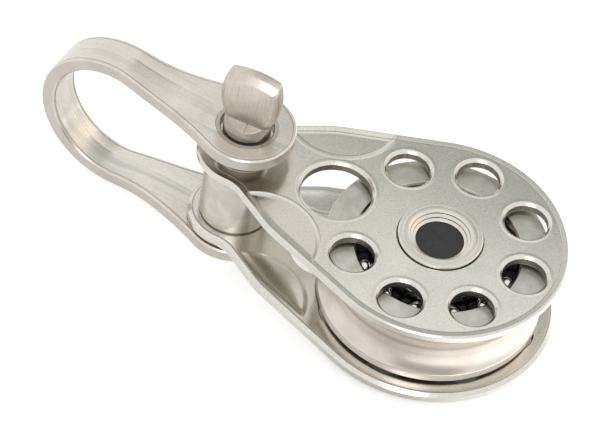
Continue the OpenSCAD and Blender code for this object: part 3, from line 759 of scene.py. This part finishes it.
def tabShape(t, p):
    # below zero inside the tab and its shank, measured from the top of the ear
    x, y, z = p[:, 0], p[:, 1], p[:, 2]
    across = np.hypot(x, y)
    barrel = np.hypot(across - (t["halfWidth"] - t["sideRadius"]), z - t["wideZ"]) - t["sideRadius"]
    shank = np.maximum(across - t["radius"], (z - t["neck"]) * t["shankEase"])
    dome = np.sqrt(across ** 2 + (z - t["tabHeight"] + t["topRadius"]) ** 2) - t["topRadius"]
    cut = (across + z - t["halfWidth"] - t["tabHeight"] + 2 * t["corner"]) / math.sqrt(2)
    front = softMax([np.minimum(barrel, shank), dome, cut], t["soft"] * t["frontSoft"])
    run = t["radius"] - t["thick"] / 2
    slope = (np.abs(y) - t["radius"] + z / t["neck"] * run) / math.hypot(1, run / t["neck"])
    slope += t["scoreDepth"] * nearLine(x, t["scoreX"], t["scoreWidth"]) * (y < 0)
    flat = np.abs(y) - t["thick"] / 2
    topBevel = (flat + dome + np.where(y < 0, t["bevel"], t["backBevel"])) / math.sqrt(2)
    sideBevel = (flat + barrel + np.where(y < 0, t["sideBevel"], t["backBevel"])) / math.sqrt(2)
    sideBevel -= np.maximum(t["neck"] - z, 0)
    return softMax([front, np.minimum(flat, slope), topBevel, sideBevel], t["soft"])


def castOut(t, height, rays):
    # the points where rays from the pin's axis at a height meet the surface
    origin = np.tile([0, 0, height], (len(rays), 1))
    near, far = np.zeros(len(rays)), np.full(len(rays), t["farthest"])
    for _ in range(t["halvings"]):
        middle = (near + far) / 2
        inside = tabShape(t, origin + rays * middle[:, None]) < 0
        near, far = np.where(inside, middle, near), np.where(inside, far, middle)
    return origin + rays * near[:, None]


def buildPin(t):
    around = np.linspace(0, 2 * math.pi, t["crowdSamples"], endpoint=False)
    # closer columns where the flats meet the narrow sides
    crowd = 1 + t["crowdBy"] * nearLine(np.abs(np.tan(around)), t["crowdAt"], t["crowdWidth"])
    share = np.concatenate([[0], np.cumsum(crowd)])
    angles = np.interp(np.linspace(0, share[-1], t["columns"], endpoint=False), share,
                       np.append(around, 2 * math.pi))
    flatRays = np.column_stack([np.cos(angles), np.sin(angles), np.zeros(len(angles))])
    rows = [np.array([[0, 0, t["tabHeight"]]] * len(angles))]
    for rise in np.concatenate([np.linspace(*run) for run in t["rises"]]):
        up = math.radians(rise)
        rows.append(castOut(t, t["heart"], flatRays * math.cos(up) + [0, 0, math.sin(up)]))
    for z in np.concatenate([np.linspace(*run) for run in t["levels"]]):
        rows.append(castOut(t, z, flatRays))
    grid = np.array(rows)
    normals = np.zeros_like(grid)
    for k, step in enumerate(t["slopeStep"] * np.eye(3)):
        ahead, behind = (tabShape(t, near.reshape(-1, 3)) for near in (grid + step, grid - step))
        normals[..., k] = (ahead - behind).reshape(grid.shape[:2])
    normals[0] = [0, 0, 1]
    end = t["base"] - t["earTop"]
    rings = [(z, t["radius"], 0.0) for z in (0.0, -0.05)] + [(end + z, r, lean) for z, r, lean in t["endRings"]]
    grid = np.concatenate([grid, [flatRays * r + [0, 0, z] for z, r, _ in rings]])
    normals = np.concatenate([normals, [flatRays - [0, 0, lean] for _, _, lean in rings]])
    rowCount, columnCount = grid.shape[:2]
    points, flatNormals = grid.reshape(-1, 3), normals.reshape(-1, 3)
    faces = []
    for r in range(rowCount - 1):
        for k in range(columnCount):
            a, b = r * columnCount + k, r * columnCount + (k + 1) % columnCount
            faces.append((a, a + columnCount, b + columnCount, b))
    spin = turnMatrix(t["turn"])
    piece = makePiece("thumbPin", points @ spin.T + [t["pinX"], 0, t["earTop"]], faces, flatNormals @ spin.T,
                      satinPin, "pin", ["thumb_pin"])
    # the narrow sides of the tab and its shank are duller, and darker with painted shade
    middles = points[np.array(faces)].mean(1)
    facing = unitRows(flatNormals[np.array(faces)].mean(1))
    addSecond(piece, shadedPinSides, (np.abs(facing[:, 0]) > t["dullFrom"]) | (middles[:, 2] < t["neck"]))


buildPin(pin)
print("pin turned")


def roundedLine(corners, step=12.0):
    # a closed section through corners (radius from the axle, height, rounding)
    points = []
    count = len(corners)
    for k in range(count):
        here = np.array(corners[k][:2], float)
        before, after = np.array(corners[k - 1][:2]), np.array(corners[(k + 1) % count][:2])
        rounding = corners[k][2]
        u, v = before - here, after - here
        lu, lv = np.linalg.norm(u), np.linalg.norm(v)
        u, v = u / lu, v / lv
        opening = math.acos(float(np.clip(u @ v, -1, 1)))
        if rounding <= 0 or math.pi - opening < 0.02:
            points.append(here)
            continue
        reach = min(rounding / math.tan(opening / 2), 0.49 * lu, 0.49 * lv)
        radius = reach * math.tan(opening / 2)
        middle = here + (u + v) / np.linalg.norm(u + v) * radius / math.sin(opening / 2)
        start, end = here + u * reach, here + v * reach
        a0, a1 = (math.atan2(*(q - middle)[::-1]) for q in (start, end))
        turn = (a1 - a0 + math.pi) % (2 * math.pi) - math.pi
        pieces = max(3, int(abs(math.degrees(turn)) / step))
        guard = min(0.02, 0.2 * (lu - reach), 0.2 * (lv - reach))
        points.append(start + u * guard)
        for i in range(pieces + 1):
            a = a0 + turn * i / pieces
            points.append(middle + radius * np.array([math.cos(a), math.sin(a)]))
        points.append(end + v * guard)
    return np.array(points)


def turnPiece(name, corners, material, body, replaced, axisX=0.0, sides=256, sideMaterial=None):
    section = roundedLine(corners)
    unit = unitRows(np.roll(section, -1, 0) - section)
    sectionNormals = np.stack([unit[:, 1], -unit[:, 0]], 1)
    sectionNormals = sectionNormals + np.roll(sectionNormals, 1, 0)
    area = np.sum(section[:, 0] * np.roll(section[:, 1], -1) - np.roll(section[:, 0], -1) * section[:, 1])
    if area < 0:
        sectionNormals = -sectionNormals
    angles = np.linspace(0, 2 * math.pi, sides, endpoint=False)[:, None]
    points, normals = (np.stack([np.cos(angles) * line[:, 0], np.sin(angles) * line[:, 0],
                                 np.ones_like(angles) * line[:, 1]], 2).reshape(-1, 3)
                       for line in (section, sectionNormals))
    rows = len(section)
    faces = []
    for k in range(sides):
        after = (k + 1) % sides
        for r in range(rows):
            nextRow = (r + 1) % rows
            face = (k * rows + r, after * rows + r, after * rows + nextRow, k * rows + nextRow)
            faces.append(face if area > 0 else face[::-1])
    piece = makePiece(name, points + [axisX, 0, 0], faces, normals, material, body, replaced)
    if sideMaterial:
        addSecond(piece, sideMaterial, np.tile(np.abs(unit[:, 0]) > 0.95, sides))


def sharpArc(centre, radius, start, end, step):
    # corners without rounding along an arc of the section
    return [(x, z, 0) for x, z in arcPoints(centre, radius, start, end, step)]


def below(corners):
    return [(r, -z, rounding) for r, z, rounding in reversed(corners)]


sheave = {"rim": 18.8, "half": 6.0, "groove": 1.6, "land": 1.5, "rimRound": 0.16, "bore": 13.7, "ease": 0.35,
          "trackRadius": 1.6475, "trackCircle": 12.4025, "trackZ": 3.3}


def sheaveSection(v):
    chord = v["half"] - v["land"]
    grooveRadius = (chord ** 2 + v["groove"] ** 2) / (2 * v["groove"])
    centre = v["rim"] - v["groove"] + grooveRadius
    reach = math.degrees(math.asin(chord / grooveRadius))
    groove = sharpArc((centre, 0), grooveRadius, 180 + reach - 3, 180 - reach + 3, 4.0)
    half = math.degrees(math.acos((v["bore"] - v["trackCircle"]) / v["trackRadius"]))
    low, high = (sharpArc((v["trackCircle"], z), v["trackRadius"], -half, half, 9.0)
                 for z in (-v["trackZ"], v["trackZ"]))
    track = low + high
    return ([(v["bore"] + v["ease"], -v["half"], 0.08), (v["rim"], -v["half"], v["rimRound"]),
             (v["rim"], -chord, 0.5)] + groove + [(v["rim"], chord, 0.5), (v["rim"], v["half"], v["rimRound"]),
             (v["bore"] + v["ease"], v["half"], 0.08), (v["bore"], v["half"] - v["ease"], 0.08)]
            + track[::-1] + [(v["bore"], v["ease"] - v["half"], 0.08)])


turnPiece("sheaveRing", sheaveSection(sheave), sheaveSteel, "sheave", ["sheave_ring"], sides=320,
          sideMaterial=sheaveSides)

flange = {"inner": 5.0, "outer": 7.1, "base": 7.95, "top": 8.95, "flare": 6.0, "lip": 0.5, "bore": 4.0,
          "plugTop": 7.6, "edge": 0.3, "line": 0.05}


def flangeSection(v):
    return [(v["inner"], v["base"], 0.02), (v["outer"], v["base"], 0.05), (v["outer"], v["top"] - 0.1, v["edge"]),
            (v["outer"] - 0.28, v["top"], 0.2), (v["flare"] + 0.32, v["top"], 0.05),
            (v["flare"] + 0.22, v["top"] - v["line"], 0.04), (v["flare"] + 0.02, v["top"] - 0.01, 0.02)]


def axleSection(v):
    lip = v["flare"] - v["lip"]
    step, drop = (lip - v["bore"]) / 3, (v["top"] - v["plugTop"]) / 5
    upper = [(v["inner"], v["base"], 0.02), (v["flare"], v["top"] - 0.01, 0.02),
             (v["flare"] - 0.16, v["top"], 0.08), (lip, v["top"], 0.12),
             (lip - step, v["top"] - drop, 0.10), (lip - step, v["top"] - 2 * drop, 0.08),
             (lip - 2 * step, v["top"] - 3 * drop, 0.10), (lip - 2 * step, v["top"] - 4 * drop, 0.08),
             (v["bore"], v["plugTop"], 0.12)]
    return upper + below(upper)


def turnBoth(kind, corners, material, node, sides=256):
    # a turned piece above the middle and the same one below it
    for word, section in (("upper", corners), ("lower", below(corners))):
        turnPiece(word + kind, section, material, "block", [node + "_" + word], sides=sides)


turnBoth("FlangeRing", flangeSection(flange), flangeSteel, "flange_ring")
turnPiece("hollowAxle", axleSection(flange), flangeSteel, "block", ["hollow_axle"])

plug = {"radius": 3.95, "top": flange["plugTop"], "low": 3.6, "axis": 0.001, "nearAxis": 0.05}
turnBoth("AxlePlug", [(plug["axis"], plug["low"], 0), (plug["nearAxis"], plug["low"], 0),
                      (plug["radius"], plug["low"], 0.1), (plug["radius"], plug["top"], 0.16),
                      (plug["nearAxis"], plug["top"], 0), (plug["axis"], plug["top"], 0)],
         blackPlastic, "axle_plug", sides=128)

race = {"inner": 5.05, "outer": 11.105, "end": 6.05, "washerTop": 6.55}
trackHalf = math.degrees(math.acos((sheave["trackCircle"] - race["outer"]) / sheave["trackRadius"]))
track = sharpArc((sheave["trackCircle"], sheave["trackZ"]), sheave["trackRadius"], 180 + trackHalf,
                 180 - trackHalf, 9.0)
turnBoth("InnerRace", [(race["inner"], 0.0, 0.1), (race["outer"], 0.0, 0.1)] + track
         + [(race["outer"], race["end"], 0.15), (race["inner"], race["end"], 0.1)],
         groundSteel, "inner_race", sides=192)
turnBoth("ThrustWasher", [(race["inner"], race["end"], 0.05), (race["outer"], race["end"], 0.05),
                          (race["outer"], race["washerTop"], 0.12), (race["inner"], race["washerTop"], 0.05)],
         blackPlastic, "thrust_washer", sides=192)

post = {"radius": 6.0, "groove": 5.6, "spigot": 5.2, "bore": 4.15, "inner": cheek["inner"],
        "outer": cheek["outer"], "grooveWidth": 0.3}


def postSection(v):
    upper = [(v["bore"], v["outer"], 0.15), (v["spigot"], v["outer"], 0.15), (v["spigot"], v["inner"], 0.02),
             (v["groove"], v["inner"], 0.02), (v["groove"], v["inner"] - v["grooveWidth"], 0.05),
             (v["radius"], v["inner"] - v["grooveWidth"], 0.15)]
    return upper + below(upper)


turnPiece("headPost", postSection(post), postSteel, "block", ["head_post"], axisX=pinPlace,
          sides=192)

for name in ("bearing_balls_upper", "bearing_balls_lower", "ball_cage_upper", "ball_cage_lower"):
    nodes[name].data.materials.clear()
    nodes[name].data.materials.append(polishedBalls if "balls" in name else blackPlastic)
print("turned pieces done")


studio = {"restLeft": (-28.0, -11.05), "restRight": (21.4, -8.35), "clear": 0.04, "halfFloor": 3000.0,
          "floorColour": (0.70, 0.69, 0.68, 1), "floorGlow": 0.63, "glint": 0.24,
          "glintLeft": (-5.0, -22.0, 0.0, 0.30), "glintRight": (6.0, 28.0, 0.0, 0.9),
          "shadeStart": 17.0, "shadeEnd": 21.0, "worldLevel": 0.62}


def rayMask(tree, seenLevel, glossyLevel):
    # camera, glossy and transmission rays see the white background itself
    path = addNode(tree, "ShaderNodeLightPath").outputs
    seen = doMath(tree, "MAXIMUM", path["Is Camera Ray"], path["Is Transmission Ray"])
    return doMath(tree, "MULTIPLY_ADD", path["Is Glossy Ray"], glossyLevel, times(tree, seen, seenLevel))


def buildFloor(v):
    (xa, za), (xb, zb) = v["restLeft"], v["restRight"]
    tilt = (zb - za) / (xb - xa)
    half = v["halfFloor"]
    points = [(x, y, za + (x - xa) * tilt - v["clear"]) for x, y in
              ((-half, -half), (half, -half), (half, half), (-half, half))]
    mesh = bpy.data.meshes.new("floor")
    mesh.from_pydata([tuple(c * mm for c in p) for p in points], [], [(0, 1, 2, 3)])
    floor = bpy.data.objects.new("floor", mesh)
    bpy.context.scene.collection.objects.link(floor)
    material = bpy.data.materials.new("paleFloor")
    tree = clearedTree(material)
    paper = addNode(tree, "ShaderNodeBsdfDiffuse", {"Color": v["floorColour"]})
    # the glow fades out under the sheave, where the floor lies in shadow
    place = placeGroup(tree, millimetres, {})
    away, side = (splitVector(tree, place[kind])[0] for kind in ("Turned", "Square"))
    # the steel sees more of the glow from the floor's two ends
    sides = doMath(tree, "ADD", *(spread(tree, side, *v[end]) for end in ("glintLeft", "glintRight")))
    glint = doMath(tree, "ADD", sides, v["glint"])
    level = times(tree, spread(tree, away, v["shadeStart"], v["shadeEnd"]),
                  rayMask(tree, v["floorGlow"], glint))
    glow = addNode(tree, "ShaderNodeEmission", {"Strength": level})
    both = addNode(tree, "ShaderNodeAddShader", {0: paper.outputs[0], 1: glow.outputs[0]})
    # clear from below, so that the block can be looked at from there too
    clear = addNode(tree, "ShaderNodeBsdfTransparent")
    under = addNode(tree, "ShaderNodeNewGeometry").outputs["Backfacing"]
    endIn(tree, addNode(tree, "ShaderNodeMixShader", {0: under, 1: both.outputs[0], 2: clear.outputs[0]}))
    mesh.materials.append(material)


def buildWorld(v):
    world = bpy.data.worlds.new("studioWorld")
    bpy.context.scene.world = world
    tree = clearedTree(world)
    soft, white = (addNode(tree, "ShaderNodeBackground", {"Color": (1, 1, 1, 1), "Strength": level}).outputs[0]
                   for level in (v["worldLevel"], 1.0))
    endIn(tree, addNode(tree, "ShaderNodeMixShader", {0: rayMask(tree, 1.0, 1.0), 1: soft, 2: white}),
          "ShaderNodeOutputWorld")


def addAimed(thing, place, aim):
    thing.location = place
    thing.rotation_mode = "QUATERNION"
    thing.rotation_quaternion = (Vector(aim) - Vector(place)).to_track_quat("-Z", "Y")
    bpy.context.scene.collection.objects.link(thing)


def addLamp(name, place, aim, size, power, tint=(1, 1, 1)):
    data = bpy.data.lights.new(name, "AREA")
    data.shape = "RECTANGLE"
    data.size, data.size_y = size
    data.energy, data.color = power, tint
    addAimed(bpy.data.objects.new(name, data), place, aim)


def addCard(name, place, aim, size, level):
    # a grey card that only the steel sees
    w, h = size[0] / 2, size[1] / 2
    mesh = bpy.data.meshes.new(name)
    mesh.from_pydata([(-w, -h, 0), (w, -h, 0), (w, h, 0), (-w, h, 0)], [], [(0, 1, 2, 3)])
    material = bpy.data.materials.new(name)
    tree = clearedTree(material)
    endIn(tree, addNode(tree, "ShaderNodeEmission", {"Color": (*level, 1), "Strength": 1.0}))
    mesh.materials.append(material)
    card = bpy.data.objects.new(name, mesh)
    addAimed(card, place, aim)
    card.visible_camera = card.visible_diffuse = card.visible_shadow = False


buildFloor(studio)
buildWorld(studio)
addLamp("keySoftbox", (0.11, -0.46, 0.42), (-0.02, 0, 0), (0.26, 0.16), 0.38)
addLamp("backSoftbox", (0.29, 0.335, 0.34), (-0.05, 0, 0), (0.18, 0.18), 0.45, (1.0, 0.86, 0.74))
addCard("farCard", (-0.03, 0.148, 0.085), (-0.03, 0.083, 0.008), (0.10, 0.115), (0.44, 0.46, 0.44))
addCard("leftCard", (-0.058, 0.079, 0.1425), (-0.058, 0.014, 0.0655), (0.030, 0.06), (0.88, 0.85, 0.81))
addCard("nearCard", (0.12, -0.22, 0.06), (0, 0, 0.06), (0.28, 0.14), (0.42, 0.41, 0.39))
addCard("warmCard", (0.20, 0.19, 0.19), (-0.05, 0, 0), (0.20, 0.20), (0.98, 0.90, 0.82))

shot = {"aim": (-0.023233, -0.003508, 0.002257), "azimuth": 18.449, "elevation": 48.313, "roll": 10.249,
        "distance": 0.688592, "lens": 249.93, "sensor": 36.0, "clip": (0.01, 20.0)}


def placeCamera(v):
    a, e = math.radians(v["azimuth"]), math.radians(v["elevation"])
    back = Vector((math.sin(a) * math.cos(e), -math.cos(a) * math.cos(e), math.sin(e)))
    data = bpy.data.cameras.new("camera")
    data.sensor_width, data.lens = v["sensor"], v["lens"]
    data.clip_start, data.clip_end = v["clip"]
    camera = bpy.data.objects.new("camera", data)
    camera.location = Vector(v["aim"]) + back * v["distance"]
    camera.rotation_mode = "QUATERNION"
    camera.rotation_quaternion = (-back).to_track_quat("-Z", "Y") @ Quaternion((0, 0, 1), math.radians(v["roll"]))
    bpy.context.scene.collection.objects.link(camera)
    bpy.context.scene.camera = camera


placeCamera(shot)
bpy.context.scene.view_settings.view_transform = "Standard"
bpy.context.view_layer.update()
